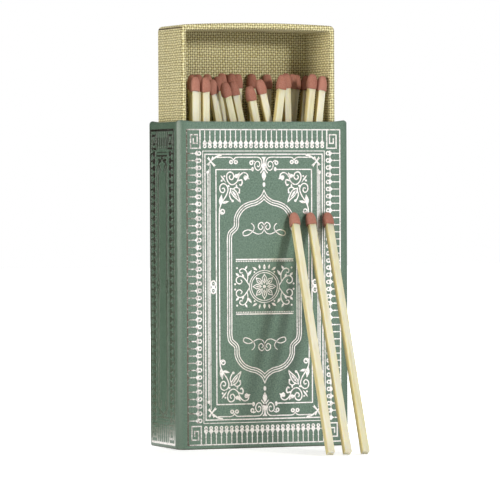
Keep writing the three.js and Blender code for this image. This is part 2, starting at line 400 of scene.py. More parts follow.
def bend(points, steps=5):
    """A smooth path through the points."""
    path = []
    for index in range(len(points) - 1):
        first = Vector(points[max(index - 1, 0)])
        start = Vector(points[index])
        end = Vector(points[index + 1])
        last = Vector(points[min(index + 2, len(points) - 1)])
        for step in range(steps):
            t = step / steps
            bent = (start * 2 + (end - first) * t + (first * 2 - start * 5 + end * 4 - last) * t ** 2
                    + (start * 3 - first - end * 3 + last) * t ** 3) / 2
            path.append(tuple(bent))
    path.append(tuple(points[-1]))
    return path


def curl(u, v, start_radius, end_radius, start_angle, turns, steps=12):
    """A spiral round (u, v); angles in degrees, and turns below nothing run clockwise."""
    count = max(4, round(abs(turns) * steps))
    path = []
    for step in range(count + 1):
        share = step / count
        radius = start_radius + (end_radius - start_radius) * share
        angle = math.radians(start_angle) + 2 * math.pi * turns * share
        path.append((u + radius * math.cos(angle), v + radius * math.sin(angle)))
    return path


def new_tree(name, result, **sockets):
    """An empty Geometry Nodes tree with a named result, and the outputs that bring it its named inputs."""
    tree = bpy.data.node_groups.new(name, "GeometryNodeTree")
    for key, kind in sockets.items():
        tree.interface.new_socket(key, in_out="INPUT", socket_type="NodeSocket" + kind)
    tree.interface.new_socket(result, in_out="OUTPUT", socket_type="NodeSocketGeometry")
    return tree, add_node(tree, "NodeGroupInput").outputs


def row_tree():
    """A Geometry Nodes tree that repeats one mesh along a straight row."""
    tree, given = new_tree("row of copies", "Row", Copied="Geometry", Count="Int", Start="Vector",
                           Step="Vector", Finish="Material")
    line = add_node(tree, "GeometryNodeMeshLine", {
        "Count": given["Count"], "Start Location": given["Start"], "Offset": given["Step"]})
    copies = add_node(tree, "GeometryNodeInstanceOnPoints", {
        "Points": line.outputs["Mesh"], "Instance": given["Copied"]})
    real = add_node(tree, "GeometryNodeRealizeInstances", {"Geometry": copies.outputs["Instances"]})
    painted = add_node(tree, "GeometryNodeSetMaterial", {
        "Geometry": real.outputs["Geometry"], "Material": given["Finish"]})
    add_node(tree, "NodeGroupOutput", {"Row": painted.outputs["Geometry"]})
    return tree


def made_by(tree, mesh, values):
    """Runs a Geometry Nodes tree on a mesh with its named inputs set, and gives the plain mesh it makes."""
    carrier = object_of("carrier", mesh)
    modifier = carrier.modifiers.new("tree", "NODES")
    modifier.node_group = tree
    for socket in tree.interface.items_tree:
        if socket.in_out == "INPUT" and socket.name in values:
            modifier[socket.identifier] = values[socket.name]
    depsgraph = bpy.context.evaluated_depsgraph_get()
    made = bpy.data.meshes.new_from_object(carrier.evaluated_get(depsgraph))
    carrier.modifiers.remove(modifier)
    bpy.data.objects.remove(carrier)
    return made


copies_in_row = row_tree()


def add_row(face, drop, turn, count, start, step):
    """Adds a row of one turned drop to a printed face."""
    one = drop.to_mesh()
    one.transform(turn)
    values = {"Count": count, "Start": (*start, 0.0), "Step": (*step, 0.0), "Finish": foil.material}
    row = made_by(copies_in_row, one, values)
    face.mesh.from_mesh(row)
    bpy.data.meshes.remove(row)


def rectangle(half, low, high):
    return [(-half, low), (half, low), (half, high), (-half, high)]


def mirrored(level):
    return 2 * PRINT_MIDDLE - level


def at_end(level, end):
    """The level itself at the print's top, and its mirror image at the foot, where end is -1."""
    return level if end > 0 else mirrored(level)


def four_ways(face, quarter):
    """Adds the upper left quarter of a print, mirrored into all four."""
    for across in (1, -1):
        for along in (1, -1):
            turn = Matrix.Diagonal((across, along, 1, 1))
            turn.translation = (0, 0 if along > 0 else 2 * PRINT_MIDDLE, 0)
            face.add(quarter, turn)


def all_round(path):
    """A closed outline from its upper left quarter, which runs from the top's middle to the side's middle."""
    left = path + [(u, mirrored(v)) for u, v in reversed(path[:-1])]
    return left + [(-u, v) for u, v in reversed(left[1:-1])]


# The frame's fringe: a stem with a collar, a spade and a ring, longer at the top and foot than at the sides
STEM = 0.3
COLLAR = 0.27
LINK = 0.18


def fringe_drop(collar, spade, widest, half_width, eye, eye_radius):
    """One drop that hangs from the frame; the levels count down from the frame's line."""
    made = Print()
    made.stroke([(0, -0.25), (0, -spade - 0.3)], STEM)
    made.dot(0, -collar, COLLAR, 0.9, 8)
    side = [(0.4 * half_width, (spade + widest) / 2), (half_width, widest), (0.85 * half_width, widest + 0.4),
            (0.45 * half_width, eye - 0.35)]
    made.plate([(0, -spade)] + [(u, -v) for u, v in side] + [(-u, -v) for u, v in reversed(side)])
    made.ring(0, -eye, eye_radius, 0.42, 1.0, 10)
    return made


long_drop = fringe_drop(2.5, 3.05, 4.45, 0.74, 5.6, 0.45)
short_drop = fringe_drop(2.05, 2.6, 3.55, 0.95, 4.4, 0.58)
LINK_DROP = 4.5
SIDE_LINK_DROP = 3.6
FRONT_HALF = 27.75
FRONT_TOP = 107.25
TOP_DROPS = 24
TOP_PITCH = 1.853
TOP_START = -21.31
SIDE_DROPS = 38
SIDE_PITCH = 2.4224
SIDE_START = 9.65
SIDE_END = SIDE_START + (SIDE_DROPS - 1) * SIDE_PITCH
down = Matrix.Identity(4)
up = Matrix.Diagonal((1, -1, 1, 1))
to_right = Matrix.Rotation(math.radians(90), 4, "Z")
to_left = Matrix.Rotation(math.radians(-90), 4, "Z")


def add_frame_rows(face, half, beside, above, count, start, pitch):
    """Rows of drops inside a frame: one kind along its sides, and a count of another at its top and foot."""
    for turn, place in ((to_right, -half), (to_left, half)):
        add_row(face, beside, turn, SIDE_DROPS, (place, SIDE_START), (0, SIDE_PITCH))
    for turn, level in ((down, FRONT_TOP), (up, mirrored(FRONT_TOP))):
        add_row(face, above, turn, count, (start, level), (pitch, 0))


front = Print()
front.stroke(rectangle(FRONT_HALF, mirrored(FRONT_TOP), FRONT_TOP), 0.4, closed=True)
front.stroke(rectangle(22.06, mirrored(100.06), 100.06), 0.24, closed=True)
front.stroke(rectangle(21.27, mirrored(98.98), 98.98), 0.4, closed=True)
add_frame_rows(front, FRONT_HALF, short_drop, long_drop, TOP_DROPS, TOP_START, TOP_PITCH)
for across in (1, -1):
    link = across * (FRONT_HALF - SIDE_LINK_DROP)
    front.stroke([(link, SIDE_START), (link, SIDE_END)], LINK)
for end in (1, -1):
    link = at_end(FRONT_TOP - LINK_DROP, end)
    front.stroke([(TOP_START, link), (-TOP_START, link)], LINK)

# A quarter of what repeats in all four corners, drawn at the upper left
quarter = Print()
quarter.stroke([(-23.0, 107.25), (-23.0, 101.0), (-26.4, 101.0), (-26.4, 105.55), (-24.0, 105.55),
                (-24.0, 102.65), (-25.4, 102.65), (-25.4, 104.4)], 0.42)
for place, level in ((-20.35, 92.4), (-19.9, 94.0), (-19.45, 95.6)):
    quarter.stroke([(place, PRINT_MIDDLE), (place, level)], 0.24)
quarter.dot(-20.35, 92.9, 0.4, 1.5)
quarter.stroke([(-17.34, PRINT_MIDDLE), (-17.34, 93.85), (-4.6, 93.85)], 0.38)
# Crossed strap at the band's head, and the line with the heart that leaves it
strap = Vector((-19.2, 96.6))
for tip in ((-20.3, 98.0), (-18.15, 98.2), (-20.45, 95.2), (-17.6, 94.9)):
    along = Vector(tip) - strap
    aside = Vector((-along.y, along.x)).normalized()
    quarter.plate([tuple(strap + aside * 0.2), tuple(Vector(tip) + aside * 0.42), tuple(strap + along * 0.85),
                   tuple(Vector(tip) - aside * 0.42), tuple(strap - aside * 0.2)])
quarter.curve([(-18.7, 97.0), (-17.6, 97.9), (-16.6, 98.4), (-15.2, 98.6)], 0.55, tips=0.6, steps=3)
quarter.curve([(-17.0, 97.9), (-14.5, 97.95), (-12.3, 97.95), (-11.4, 97.55), (-11.0, 96.9)], 0.36)
for place in (-11.85, -10.15):
    quarter.ring(place, 96.35, 0.5, 0.48)
# Volutes at the middle of the top
quarter.curve([(-11.0, 96.9), (-10.6, 97.55), (-9.7, 97.95), (-6.0, 97.95), (-2.3, 97.95), (-1.2, 97.4),
               (-0.75, 96.4), (-0.85, 95.2), (-1.3, 94.1), (-2.1, 93.55), (-2.9, 94.0), (-3.35, 95.0),
               (-3.15, 96.05), (-2.4, 96.6), (-1.65, 96.2), (-1.5, 95.3), (-2.05, 94.75),
               (-2.4, 95.15)], 0.36)
quarter.ring(-4.55, 96.1, 0.5, 0.46, 1.15)
quarter.stroke([(-4.3, 96.95), (-3.3, 96.5)], 0.36)
quarter.dot(-4.1, 93.95, 0.5, 1.5)
quarter.curve([(-0.1, 94.5), (-0.6, 93.5), (-1.35, 92.6)], 0.42, tips=0.7)
# Scrolls with leaves in the corner
quarter.curve([(-9.7, 89.8), (-10.8, 88.9), (-12.1, 88.9), (-13.2, 90.1), (-13.5, 91.6), (-13.0, 92.7),
               (-12.2, 93.0), (-11.3, 92.6), (-10.9, 91.5), (-11.5, 90.5), (-12.3, 90.7), (-12.5, 91.5),
               (-12.0, 91.9)], 0.42, tips=0.8)
quarter.curve([(-10.8, 88.9), (-9.7, 89.8), (-9.2, 91.1), (-8.4, 92.2), (-7.3, 92.8), (-6.2, 92.4),
               (-5.8, 91.4), (-6.3, 90.7)], 0.42, tips=0.8)
quarter.plate([(-10.9, 91.4), (-10.3, 92.3), (-9.7, 92.3), (-8.8, 92.9), (-8.9, 91.8), (-9.8, 90.9)])
quarter.plate([(-7.0, 91.9), (-6.0, 91.7), (-5.2, 90.6), (-6.1, 90.6), (-6.7, 90.1), (-7.3, 90.7),
               (-7.4, 91.4)])
quarter.stroke(bend([(-9.8, 89.9), (-8.9, 90.2), (-8.1, 90.3), (-7.9, 89.3), (-8.4, 88.5), (-8.9, 88.9)], 4),
               0.5, tips=0.8)
quarter.leaf((-15.7, 92.0), (-13.7, 89.4), 0.6)
quarter.dot(-14.3, 91.6, 0.32)
quarter.dot(-15.3, 90.1, 0.36)
quarter.dot(-12.8, 88.3, 0.36)
quarter.curve([(-16.22, 76.0), (-16.15, 79.5), (-15.9, 81.4), (-14.9, 83.3), (-13.7, 85.1), (-13.0, 87.0),
               (-13.4, 88.4), (-14.5, 89.1), (-15.6, 88.7), (-16.0, 87.6), (-15.7, 86.5), (-14.8, 86.1),
               (-14.2, 86.8), (-14.5, 87.6), (-15.2, 87.4)], 0.4, tips=0.9)
quarter.leaf((-15.9, 81.8), (-15.3, 85.5), 1.3)
quarter.leaf((-15.3, 82.6), (-12.6, 83.2), 0.9)
quarter.stroke([(-16.22, PRINT_MIDDLE), (-16.22, 76.3)], 0.34)
quarter.stroke(curl(-15.1, 79.8, 1.0, 0.35, 190, 1.35), 0.42, tips=0.8)
quarter.stroke(bend([(-12.2, 87.5), (-11.9, 86.2), (-10.9, 84.8), (-9.8, 83.9), (-8.7, 83.0), (-9.2, 84.6),
                     (-9.8, 86.0), (-10.8, 87.1), (-12.2, 87.5)], 4)[:-1], 0.38, closed=True)
quarter.leaf((-11.6, 86.9), (-9.6, 84.2), 0.7)
quarter.curve([(-11.2, 87.0), (-10.6, 87.7), (-9.7, 87.8), (-8.9, 87.2), (-8.9, 86.4)], 0.4)
quarter.dot(-9.0, 86.1, 0.36)
quarter.leaf((-9.9, 87.6), (-10.0, 89.0), 0.6)
quarter.curve([(-12.0, 87.0), (-12.5, 85.5), (-12.2, 84.3), (-11.7, 83.5)], 0.4)
quarter.dot(-11.4, 83.3, 0.45)
# Flourish inside the shouldered frame
quarter.curve([(0.0, 73.7), (-0.8, 72.5), (-2.2, 72.1), (-3.6, 72.6), (-4.8, 73.3), (-6.1, 73.5),
               (-7.6, 72.8), (-7.3, 71.6), (-5.6, 71.9), (-4.3, 72.9), (-3.6, 74.1), (-4.0, 75.2),
               (-4.7, 75.7)], 0.34, tips=0.6, steps=5)
quarter.curve([(0.0, 73.7), (-0.05, 75.0), (-0.8, 76.0), (-1.9, 75.5), (-2.1, 74.3), (-1.2, 73.6),
               (-0.5, 74.4), (-1.1, 75.1)], 0.34, tips=0.7, steps=5)
four_ways(front, quarter)

# Frame with shouldered ends round the middle of the front, in three lines
SHOULDER_LINES = 3
SHOULDER_PITCH = 0.76
SHOULDER_LINE = 0.32
SHOULDER_HALF = 13.35
shoulder = bend([(0, 86.9), (-1.1, 84.9), (-3.1, 83.5), (-5.4, 82.9), (-7.8, 81.8), (-9.7, 79.8),
                 (-10.7, 77.6), (-10.8, 75.4), (-11.1, 74.5), (-12.8, 72.9), (-SHOULDER_HALF, 70.7),
                 (-SHOULDER_HALF, 68.0)])
shoulder.append((-SHOULDER_HALF, PRINT_MIDDLE))


def inset(path, distance):
    """The path moved sideways, towards its left as it runs, and begun again on the middle line."""
    moved = []
    for index, here in enumerate(path):
        before = Vector(path[max(index - 1, 0)])
        after = Vector(path[min(index + 1, len(path) - 1)])
        along = (after - before).normalized()
        moved.append((here[0] - along.y * distance, here[1] + along.x * distance))
    first = next(index for index, (u, v) in enumerate(moved) if u < -0.05)
    before, after = moved[max(first - 1, 0)], moved[first]
    if after[0] == before[0]:
        return moved
    share = before[0] / (before[0] - after[0])
    return [(0.0, before[1] + (after[1] - before[1]) * share)] + moved[first:]


for line in range(SHOULDER_LINES):
    front.stroke(all_round(inset(shoulder, SHOULDER_PITCH * line)), SHOULDER_LINE, closed=True)

# What stands on the front's middle line, and the knots at its sides
KNOT = 18.45
trunk = [(0.9, 98.1), (0.3, 97.2), (0.22, 96.3), (0.75, 95.3), (0.7, 94.5), (0.25, 93.6)]
for end in (1, -1):
    right = [(u, at_end(v, end)) for u, v in trunk]
    front.plate(right + [(-u, v) for u, v in reversed(right)])
    front.leaf((0, at_end(93.5, end)), (0, at_end(89.9, end)), 1.6)
    front.dot(0, at_end(88.75, end), 0.5, 1.6)
for across in (KNOT, -KNOT):
    for lift in (1, -1):
        front.ring(across, PRINT_MIDDLE + lift * 1.15, 0.74, 0.5, 1.3)
        front.dot(across, PRINT_MIDDLE + lift * 1.2, 0.2)
    front.dot(across, PRINT_MIDDLE, 0.62)

# Two ruled lines, each with a row of beads on its inner side, and a rosette between leafy scrolls
BEAD_PITCH = 0.62
BEAD_COUNT = 34
RULE = 9.2
bead = Print()
bead.plate([(-0.17, -0.2), (0.17, -0.2), (0.17, 0.2), (-0.17, 0.2)])
for end in (1, -1):
    rule = PRINT_MIDDLE + end * RULE
    front.stroke([(-10.3, rule), (10.5, rule)], 0.42)
    add_row(front, bead, down, BEAD_COUNT, (-10.1, rule - end * BEAD_PITCH), (BEAD_PITCH, 0))


def sprout(along, away):
    """A point of the ornament's upper right quarter, as its distances from the ornament's middle."""
    return along, PRINT_MIDDLE + away


PETALS = 8
petal = [(0, 1.1), (0.6, 2.0), (0.75, 2.9), (0, 4.1), (-0.75, 2.9), (-0.6, 2.0)]
for step in range(PETALS):
    turn = Matrix.Rotation(2 * math.pi * step / PETALS, 2)
    front.stroke([sprout(*(turn @ Vector(point))) for point in petal], 0.3, closed=True)
    front.leaf(sprout(*(turn @ Vector((0, 1.5)))), sprout(*(turn @ Vector((0, 3.3)))), 0.45)
front.dot(0, PRINT_MIDDLE, 0.6)
front.ring(0, PRINT_MIDDLE, 4.7, 0.26, 1.0, 40)
front.ring(0, PRINT_MIDDLE, 5.4, 0.26, 1.0, 40)
branch = Print()
branch.stroke([sprout(*point) for point in bend([
    (5.5, 0.4), (6.3, 1.7), (7.4, 3.0), (8.9, 3.6), (10.1, 2.8), (10.0, 1.5), (8.9, 1.0), (8.1, 1.7),
    (8.6, 2.4)], 4)], 0.38, tips=0.7)
branch.stroke([sprout(*point) for point in bend([
    (6.3, 1.7), (6.0, 3.4), (6.5, 5.2), (7.8, 6.1), (8.9, 5.6), (8.7, 4.7), (7.9, 4.8)], 4)], 0.36, tips=0.7)
branch_leaves = [
    ((7.4, 3.0), (8.1, 4.4), 0.7),
    ((6.05, 3.6), (4.6, 5.6), 0.9),
    ((9.2, 3.5), (10.4, 4.7), 0.8),
    ((7.0, 5.7), (6.2, 7.1), 0.7),
    ((2.6, 5.5), (4.3, 6.6), 0.8),
    ((1.6, 5.9), (1.9, 7.5), 0.7),
]
for root, tip, width in branch_leaves:
    branch.leaf(sprout(*root), sprout(*tip), width)
branch.dot(10.6, PRINT_MIDDLE + 0.9, 0.34)
branch.dot(9.9, PRINT_MIDDLE + 6.3, 0.34)
branch.dot(3.6, PRINT_MIDDLE + 4.9, 0.3)
four_ways(front, branch)
for end in (1, -1):
    front.leaf(sprout(0, end * 5.6), sprout(0, end * 7.6), 0.9)

upright = Matrix.Rotation(math.radians(90), 4, "X") @ Matrix.Scale(MM, 4)
front.piece("front_foil", Matrix.Translation((sleeve_middle.x, sleeve_low.y, 0)) @ upright)

# The narrow side's print: a frame with spades along it, and bars at the top and foot
SIDE_HALF = 11.05
SIDE_SHIFT = -1.0
SIDE_TOP_BARS = 5
BAR_PITCH = 2.05
side = Print()
side.stroke(rectangle(SIDE_HALF, mirrored(FRONT_TOP), FRONT_TOP), 0.72, closed=True)
spade = Print()
spade.stroke([(0, 0.0), (0, -2.4)], 0.5)
spade.plate([(0, -1.6), (0.55, -2.3), (1.1, -3.1), (0.9, -4.1), (0.3, -4.5), (-0.3, -4.5), (-0.9, -4.1),
             (-1.1, -3.1), (-0.55, -2.3)])
bar = Print()
bar.stroke([(0, 0.0), (0, -2.6)], 0.34)
bar.stroke([(0, -2.5), (0, -5.4)], 1.0)
bar.dot(0, -5.9, 0.45)
add_frame_rows(side, SIDE_HALF, spade, bar, SIDE_TOP_BARS, -BAR_PITCH * (SIDE_TOP_BARS - 1) / 2, BAR_PITCH)
side_quarter = Print()
side_quarter.stroke([(-5.6, 107.25), (-5.6, 101.0), (-9.6, 101.0), (-9.6, 105.45), (-6.7, 105.45),
                     (-6.7, 102.6), (-8.4, 102.6), (-8.4, 104.3)], 0.7)
side_quarter.stroke([(-5.2, 98.6), (0, 98.6)], 0.5)
side_quarter.stroke([(-5.2, 99.75), (0, 99.75)], 0.22)
side_quarter.stroke([(-3.8, PRINT_MIDDLE + 2.6), (-3.8, 94.4)], 0.6)
side_quarter.stroke([(-4.9, PRINT_MIDDLE), (-4.9, 95.4)], 0.34)
side_quarter.curve([(-0.2, 98.6), (-0.5, 97.6), (-1.6, 96.9), (-3.0, 96.3), (-4.1, 95.2),
                    (-3.8, 94.2)], 0.8)
side_quarter.curve([(-3.4, 95.6), (-2.4, 94.9), (-1.9, 93.7), (-2.3, 92.8)], 0.7, tips=0.6)
side_quarter.leaf((-1.6, 97.0), (-4.3, 97.4), 1.1)
four_ways(side, side_quarter)
for across in (1, -1):
    for lift in (1, -1):
        side.ring(across * 3.8, PRINT_MIDDLE + lift * 1.2, 0.8, 0.55, 1.4)
side_place = Matrix.Translation((sleeve_low.x, sleeve_middle.y - SIDE_SHIFT * MM, 0))
side.piece("side_foil", side_place @ to_left @ upright)

# Striking strip
# Red phosphorus and ground glass in glue, spread on a paper strip that is glued to the narrow side at the
# right. The coat is dark, dull and gritty.
grit = Finish("striking grit", {"Roughness": 0.92})
grit_place = grit.place()
grit_grains = grit.noise(grit_place, 2600.0, 3.0, 0.7)
grit.colour(grit.mix(grit.spread(grit_grains, 0.35, 0.7), shade(62, 40, 38), shade(104, 74, 68)))
grit.bump(grit_grains, 0.12 * MM, 0.8)
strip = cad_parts["striking_strip"]
strip.data.materials.clear()
strip.data.materials.append(grit.material)

# Tray
# A board tray as long as the sleeve, covered inside and out in khaki linen of an open plain weave. Its back
# edges are soft, its rims roll over the board, and the wall at its upper end arches a little outwards.
tray_low, tray_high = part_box("tray")
TRAY_WALL = 2.0 * MM
TRAY_BACK = 2.0 * MM
TRAY_EDGE = 1.6 * MM
TRAY_INNER_EDGE = 0.5 * MM
TRAY_RIM_ROLL = 0.9 * MM
TRAY_LENGTH = 110 * MM
TRAY_BOW = tray_high.z - tray_low.z - TRAY_LENGTH
tray_depth = tray_high.y - tray_low.y
THREAD = 0.845 * MM
LOOSE_THREAD = 1.2 * MM
SEAM_DROP = 0.95 * MM
SEAM_WIDTH = 0.5 * MM
TRAY_STEPS = (8, 24)
THREAD_WANDER = (0.9, 0.9, 0.0)


def tray_rings():
    half_x = (tray_high.x - tray_low.x) / 2
    half_z = TRAY_LENGTH / 2
    middle_x = (tray_high.x + tray_low.x) / 2
    middle_z = tray_low.z + half_z

    def ring(inset_by, depth, radius):
        made = []
        for x, z in rounded_outline(half_x - inset_by, half_z - inset_by, radius, *TRAY_STEPS):
            bow = TRAY_BOW * (1 - (x / half_x) ** 2) * max(0, z / half_z) ** 8
            made.append((middle_x + x, tray_high.y - depth, middle_z + z + bow))
        return made

    rings = []
    back_steps = 8
    for step in range(back_steps + 1):
        angle = step / back_steps * math.pi / 2
        inset_by = TRAY_EDGE * (1 - math.sin(angle))
        radius = max(TRAY_EDGE - inset_by, TRAY_INNER_EDGE)
        rings.append(ring(inset_by, TRAY_EDGE * (1 - math.cos(angle)), radius))
    rim_steps = 12
    for step in range(rim_steps + 1):
        angle = step / rim_steps * math.pi
        across = (1 - math.cos(angle)) / 2
        radius = TRAY_EDGE + (TRAY_INNER_EDGE - TRAY_EDGE) * across
        rings.append(ring(TRAY_WALL * across, tray_depth - TRAY_RIM_ROLL * (1 - math.sin(angle)), radius))
    rings.append(ring(TRAY_WALL, TRAY_BACK, TRAY_INNER_EDGE))
    return rings


linen = Finish("khaki linen", {"Roughness": 0.88, "Sheen Weight": 0.15})
linen_threads = linen.node("ShaderNodeUVMap", uv_map="threads").outputs["UV"]
linen_wobble = linen.node("ShaderNodeTexNoise", {"Vector": linen_threads, "Scale": 0.35, "Detail": 2.0})
linen_lie = linen.node("ShaderNodeVectorMath", {
    0: linen_wobble.outputs["Color"], 1: THREAD_WANDER, 2: linen_threads}, operation="MULTIPLY_ADD")
linen_parts = linen.parts(linen_lie.outputs[0])
linen_waves = [linen.calc("SINE", linen.calc("MULTIPLY", linen_parts[axis], math.pi)) for axis in ("X", "Y")]
linen_over = linen.calc("MULTIPLY", *linen_waves)
linen_width = [linen.calc("ABSOLUTE", wave) for wave in linen_waves]
linen_round = [linen.calc("POWER", width, 0.5) for width in linen_width]
linen_crown = [linen.calc("MULTIPLY_ADD", width, 0.55, 0.45) for width in linen_width]
linen_warp = linen.calc("MULTIPLY", linen_round[0], linen_crown[1])
linen_weft = linen.calc("MULTIPLY", linen_crown[0], linen_round[1])
linen_which = linen.calc("GREATER_THAN", linen_over, 0.0)
linen_apart = [linen.calc("SUBTRACT", 1.0, width) for width in linen_width]
linen_hole = linen.spread(linen.calc("MULTIPLY", *linen_apart), 0.1, 0.5)
linen_height = linen.calc("ADD", linen.calc("MULTIPLY", linen_warp, linen_which),
                          linen.calc("MULTIPLY", linen_weft, linen.calc("SUBTRACT", 1.0, linen_which)))
linen_slub_up = linen.noise(linen.stretch(linen_threads, (1.0, 0.06, 1.0)), 0.9, 2.0)
linen_slub_across = linen.noise(linen.stretch(linen_threads, (0.06, 1.0, 1.0)), 0.9, 2.0)
linen_slubs = linen.calc("ADD", linen_slub_up, linen_slub_across)
linen_yarn = linen.mix(linen_which, shade(202, 191, 134), shade(234, 227, 180))
linen_base = linen.mix(linen.spread(linen_slubs, 0.8, 1.2, 0.0, 0.5), linen_yarn, shade(238, 232, 190))
linen_shaded = linen.mix(linen.spread(linen_height, 0.2, 0.85, 0.75, 0.0), linen_base, shade(138, 122, 70))
linen_cloth = linen.mix(linen_hole, linen_shaded, shade(86, 70, 32))
linen_spot = linen.parts(linen.place())
linen_from_seam = linen.calc("SUBTRACT", linen_spot["Z"], tray_low.z + TRAY_LENGTH - SEAM_DROP)
linen_at_seam = linen.calc("LESS_THAN", linen.calc("ABSOLUTE", linen_from_seam), SEAM_WIDTH / 2)
linen_at_side = linen.calc("LESS_THAN", linen_spot["X"], tray_low.x + SEAM_WIDTH)
linen.colour(linen.mix(linen.calc("MULTIPLY", linen_at_seam, linen_at_side), linen_cloth, shade(84, 68, 34)))
linen.bump(linen.calc("ADD", linen_height, linen_slubs), 0.17 * MM, 0.7)

tray = piece_from("linen_tray", *skin(tray_rings(), False), linen.material)
bm = bmesh.new()
bm.from_mesh(tray.data)
bmesh.ops.recalc_face_normals(bm, faces=bm.faces)
threads = bm.loops.layers.uv.new("threads")
for face in bm.faces:
    flat = max(range(3), key=lambda axis: abs(face.normal[axis]))
    along = [axis for axis in range(3) if axis != flat]
    for loop in face.loops:
        loop[threads].uv = [loop.vert.co[axis] / (LOOSE_THREAD if axis == 1 else THREAD) for axis in along]
bm.to_mesh(tray.data)
bm.free()
tray.data.shade_smooth()
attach(tray, "tray")
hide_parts("tray")

# Matches
# Square aspen sticks, each dipped at one end in a brick-red paste that dries to a blunt egg with a wavy lower
# rim. The two faces of each stick that look left and right are painted amber, standing in for the warm glow
# that light through the wood gives the shaded side. Most stand in the tray, and a few lean on the front.
STICK = 2.4 * MM
STICK_EDGE = 0.22 * MM
STICK_LENGTH = 89.4 * MM
HEAD_LENGTH = 5.0 * MM
HEAD_WIDTH = 3.5 * MM
SOCKET_GAP = 0.12 * MM
HEAD_COVER = 2.6 * MM
RIM_WAVE = 0.14 * MM
RIM_RIPPLE = 0.1 * MM
GRAIN_APART = 0.1
TONE_SEED = 7
MATCHES = 28
STANDING = 25

aspen = Finish("aspen", {"Roughness": 0.62, "Subsurface Weight": 0.45, "Subsurface Radius": (1.0, 0.8, 0.3),
                         "Subsurface Scale": 0.9 * MM})
aspen_grain = aspen.stored("grain", "Vector")
aspen_tone = aspen.stored("tone", "Fac")
aspen_streaks = aspen.noise(aspen.stretch(aspen_grain, (1.0, 1.0, 0.03)), 2600.0, 4.0, 0.6)
aspen_bands = aspen.noise(aspen.stretch(aspen_grain, (1.0, 1.0, 0.08)), 700.0, 2.0)
aspen_pale = aspen.mix(aspen_tone, shade(216, 213, 188), shade(226, 223, 204))
aspen_dark = aspen.mix(aspen_tone, shade(205, 195, 148), shade(217, 209, 170))
aspen_wood = aspen.mix(aspen.spread(aspen.calc("ADD", aspen_streaks, aspen_bands), 0.85, 1.3),
                       aspen_pale, aspen_dark)
aspen_across = aspen.calc("MULTIPLY_ADD", aspen_tone, -GRAIN_APART, aspen.parts(aspen_grain)["X"])
# Painted amber on the faces that look left and right, standing in for the warm glow of the sticks' shaded
# sides.
aspen_painted_glow = aspen.spread(aspen.calc("ABSOLUTE", aspen_across), STICK / 2 - STICK_EDGE, STICK / 2, 0.0, 0.75)
aspen.colour(aspen.mix(aspen_painted_glow, aspen_wood, shade(214, 196, 128)))
aspen.bump(aspen_streaks, 0.05 * MM, 0.5)

paste = Finish("match head paste", {"Roughness": 0.72})
# Lighter specks of grit in the paste, which also stand in as small painted highlights.
paste_grit_and_glints = paste.noise(paste.stored("grain", "Vector"), 2400.0, 4.0, 0.65)
paste_base = paste.mix(paste.stored("tone", "Fac"), shade(144, 88, 71), shade(165, 109, 92))
paste.colour(paste.mix(paste.spread(paste_grit_and_glints, 0.35, 0.7, 0.0, 0.4), paste_base, shade(186, 143, 126)))
paste.bump(paste_grit_and_glints, 0.1 * MM, 0.7)


def match_tree():
    """A Geometry Nodes tree that stands one mesh on each point, turned and stretched as the point says."""
    tree, given = new_tree("matches on their places", "Matches", Places="Geometry", Copied="Object",
                           Seed="Int", Finish="Material")

    def attribute(name, kind="FLOAT_VECTOR"):
        read = add_node(tree, "GeometryNodeInputNamedAttribute", {"Name": name}, data_type=kind)
        return read.outputs["Attribute"]

    def store(geometry, name, value, kind="FLOAT_VECTOR", domain="POINT"):
        inputs = {"Geometry": geometry, "Name": name, "Value": value}
        stored = add_node(tree, "GeometryNodeStoreNamedAttribute", inputs, data_type=kind, domain=domain)
        return stored.outputs["Geometry"]

    seen = add_node(tree, "GeometryNodeObjectInfo", {"Object": given["Copied"]})
    where = add_node(tree, "GeometryNodeInputPosition")
    copies = add_node(tree, "GeometryNodeInstanceOnPoints", {
        "Points": given["Places"], "Rotation": attribute("turn"), "Scale": attribute("stretch"),
        "Instance": store(seen.outputs["Geometry"], "grain", where.outputs["Position"])})
    chance = add_node(tree, "FunctionNodeRandomValue", {"Seed": given["Seed"]})
    toned = store(copies.outputs["Instances"], "tone", chance.outputs[1], "FLOAT", "INSTANCE")
    real = add_node(tree, "GeometryNodeRealizeInstances", {"Geometry": toned})
    apart = add_node(tree, "ShaderNodeVectorMath", operation="SCALE")
    set_inputs(tree, apart, {0: attribute("tone", "FLOAT"), "Scale": GRAIN_APART})
    shifted = add_node(tree, "ShaderNodeVectorMath", {0: attribute("grain"), 1: apart.outputs[0]})
    grained = store(real.outputs["Geometry"], "grain", shifted.outputs[0])
    painted = add_node(tree, "GeometryNodeSetMaterial", {"Geometry": grained, "Material": given["Finish"]})
    add_node(tree, "NodeGroupOutput", {"Matches": painted.outputs["Geometry"]})
    return tree


def one_stick():
    """A stick standing on the origin, with lightly broken edges."""
    outline = rounded_outline(STICK / 2, STICK / 2, STICK_EDGE, 3, 2)
    levels = [STICK_LENGTH * step / 12 for step in range(13)]
    rings = [[(x, y, level) for x, y in outline] for level in levels]
    return piece_from("one stick", *skin(rings, False), aspen.material)


